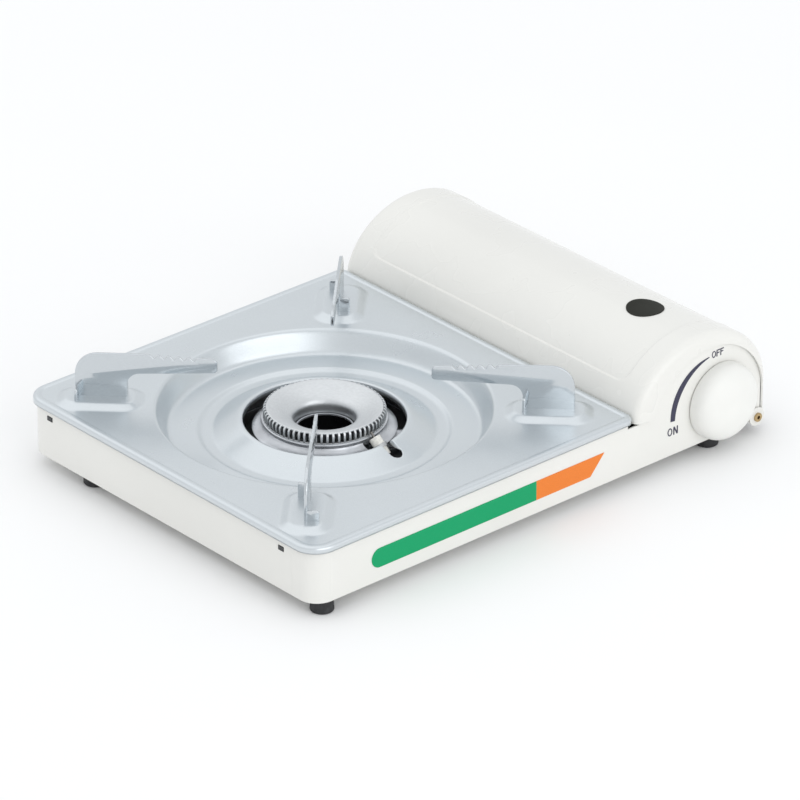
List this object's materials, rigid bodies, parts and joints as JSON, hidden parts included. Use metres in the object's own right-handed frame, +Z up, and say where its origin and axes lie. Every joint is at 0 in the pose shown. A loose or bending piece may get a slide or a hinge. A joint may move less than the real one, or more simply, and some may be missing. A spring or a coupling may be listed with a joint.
{
  "type": "portable gas stove",
  "caption": "Low portable camping stove: round burner in a lift-off drip tray with notched pan supports, hinged arched cover over the gas cartridge bay, and a turning control knob.",
  "frame": {"origin": "centre of the stove's bounding box, at the underside of the feet", "axes": "+X towards the gas cartridge side, -Y towards the knob side (front), +Z up"},
  "size_m": [0.374, 0.2916, 0.0845],
  "materials": {
    "body_enamel": "smooth off-white enamel on steel sheet",
    "cover_enamel": "smooth off-white enamel on steel sheet",
    "tray_steel": "satin silver coating",
    "support_steel": "satin stainless sheet with sheared edges",
    "burner_steel": "bright pressed steel",
    "burner_alloy": "cast, slightly rough",
    "zinc_sheet": "zinc-plated sheet",
    "screw_zinc": "zinc-plated",
    "clip_steel": "spring steel",
    "electrode_steel": "heat-dulled steel pin",
    "insulator_white": "glazed ceramic",
    "jet_brass": "turned brass",
    "rivet_brass": "pressed brass eyelet",
    "regulator_alloy": "die-cast, matt",
    "magnet_black": "dark ferrite",
    "igniter_plastic": "matt black moulded plastic",
    "cam_plastic": "matt moulded plastic",
    "knob_plastic": "smooth white moulded plastic",
    "wire_sleeve": "heat-proof woven sleeve",
    "seal_rubber": "soft black seal",
    "foot_rubber": "matt dark grey rubber",
    "badge_black": "blank satin disc",
    "label_green": "printed film, blank",
    "label_orange": "printed film, blank",
    "scale_ink": "printed ink"
  },
  "bodies": {
    "base": {"air_sleeve": "zinc_sheet", "base_pan": "body_enamel", "base_screws": "screw_zinc", "burner_bowl": "burner_alloy", "burner_bracket": "zinc_sheet", "burner_cap": "burner_steel", "burner_ports": "burner_steel", "burner_screws": "screw_zinc", "cartridge_cradle": "zinc_sheet", "cartridge_plate": "zinc_sheet", "electrode_bracket": "zinc_sheet", "electrode_insulator": "insulator_white", "electrode_pin": "electrode_steel", "foot_front_left": "foot_rubber", "foot_front_right": "foot_rubber", "foot_rear_left": "foot_rubber", "foot_rear_right": "foot_rubber", "front_label": "label_green", "front_panel": "body_enamel", "gas_jet": "jet_brass", "heat_shield": "zinc_sheet", "hinge_rivet_front": "rivet_brass", "hinge_rivet_rear": "rivet_brass", "holding_magnets": "magnet_black", "ignition_wire": "wire_sleeve", "knob_scale": "scale_ink", "mixing_tube": "burner_alloy", "partition": "zinc_sheet", "piezo_igniter": "igniter_plastic", "rating_label": "label_orange", "rear_panel": "body_enamel", "regulator_body": "regulator_alloy", "regulator_cap": "regulator_alloy", "socket_seal": "seal_rubber", "tray_clips": "clip_steel"},
    "tray": {"drip_tray": "tray_steel", "pan_support_front_left": "support_steel", "pan_support_front_right": "support_steel", "pan_support_rear_left": "support_steel", "pan_support_rear_right": "support_steel"},
    "cover": {"gas_cover": "cover_enamel", "cover_badge": "badge_black"},
    "control": {"knob": "knob_plastic", "knob_shaft": "screw_zinc", "shaft_cam": "cam_plastic"},
    "spindle": {"valve_spindle": "jet_brass"},
    "plunger": {"piezo_plunger": "igniter_plastic"}
  },
  "joints": [
    {"name": "cover_hinge", "type": "hinge", "parent": "base", "child": "cover", "pos_m": [0.1795, 0, 0.0115], "axis": [0, 1, 0], "range_deg": [0, 90]},
    {"name": "knob_turn", "type": "hinge", "parent": "base", "child": "control", "pos_m": [0.1473, 0, 0.0348], "axis": [0, -1, 0], "range_deg": [0, 110]},
    {"name": "spindle_slide", "type": "slide", "parent": "base", "child": "spindle", "axis": [0, 1, 0], "range_m": [0, 0.0016]},
    {"name": "piezo_slide", "type": "slide", "parent": "base", "child": "plunger", "axis": [0, 1, 0], "range_m": [0, 0.0032]},
    {"name": "tray_lift", "type": "slide", "parent": "base", "child": "tray", "axis": [0, 0, 1], "range_m": [0, 0.1]}
  ],
  "couplings": [
    {"joint": "spindle_slide", "follows": "knob_turn", "m_per_rad": 0.00078},
    {"joint": "piezo_slide", "follows": "knob_turn", "m_per_rad": 0.00156}
  ]
}
